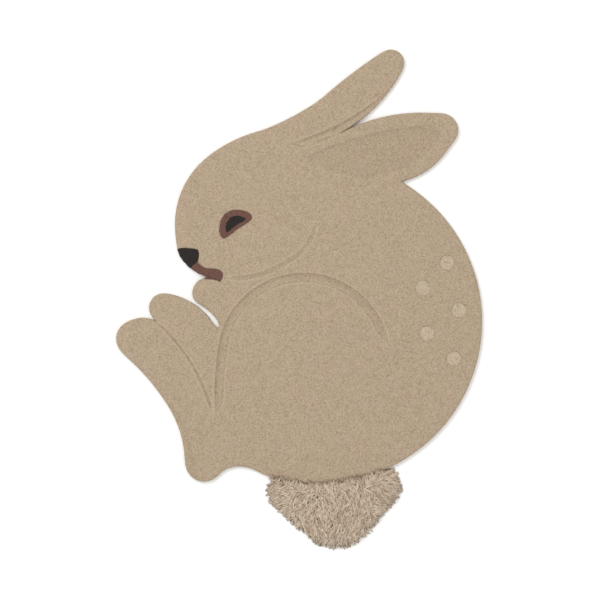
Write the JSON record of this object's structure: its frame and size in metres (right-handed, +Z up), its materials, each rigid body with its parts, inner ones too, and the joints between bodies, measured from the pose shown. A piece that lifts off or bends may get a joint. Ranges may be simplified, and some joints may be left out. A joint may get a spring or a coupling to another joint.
{
  "type": "rabbit shaped kids rug",
  "caption": "Flat tufted wool rug cut in the outline of a curled-up rabbit, with carved lines and a long shag tail.",
  "frame": {"origin": "on the floor under the middle of the rug's box", "axes": "+Y towards the rabbit's ears along the rug's length, +X towards its back, +Z up out of the pile"},
  "size_m": [0.8038, 1.0982, 0.0319],
  "materials": {
    "beige_pile": "short velvety cut pile of beige wool",
    "dark_pile": "short cut pile of nearly black brown wool",
    "brown_pile": "short cut pile of reddish brown wool",
    "cream_pile": "short cut pile of pale cream wool",
    "beige_shag": "long matt shag of beige wool"
  },
  "bodies": {
    "root": {"pile_slab": "beige_pile", "nose": "dark_pile", "mouth": "brown_pile", "eye_rim": "brown_pile", "eye_pupil": "dark_pile", "spot_1": "cream_pile", "spot_2": "cream_pile", "spot_3": "cream_pile", "spot_4": "cream_pile", "spot_5": "cream_pile", "tail_shag": "beige_shag"}
  },
  "joints": []
}
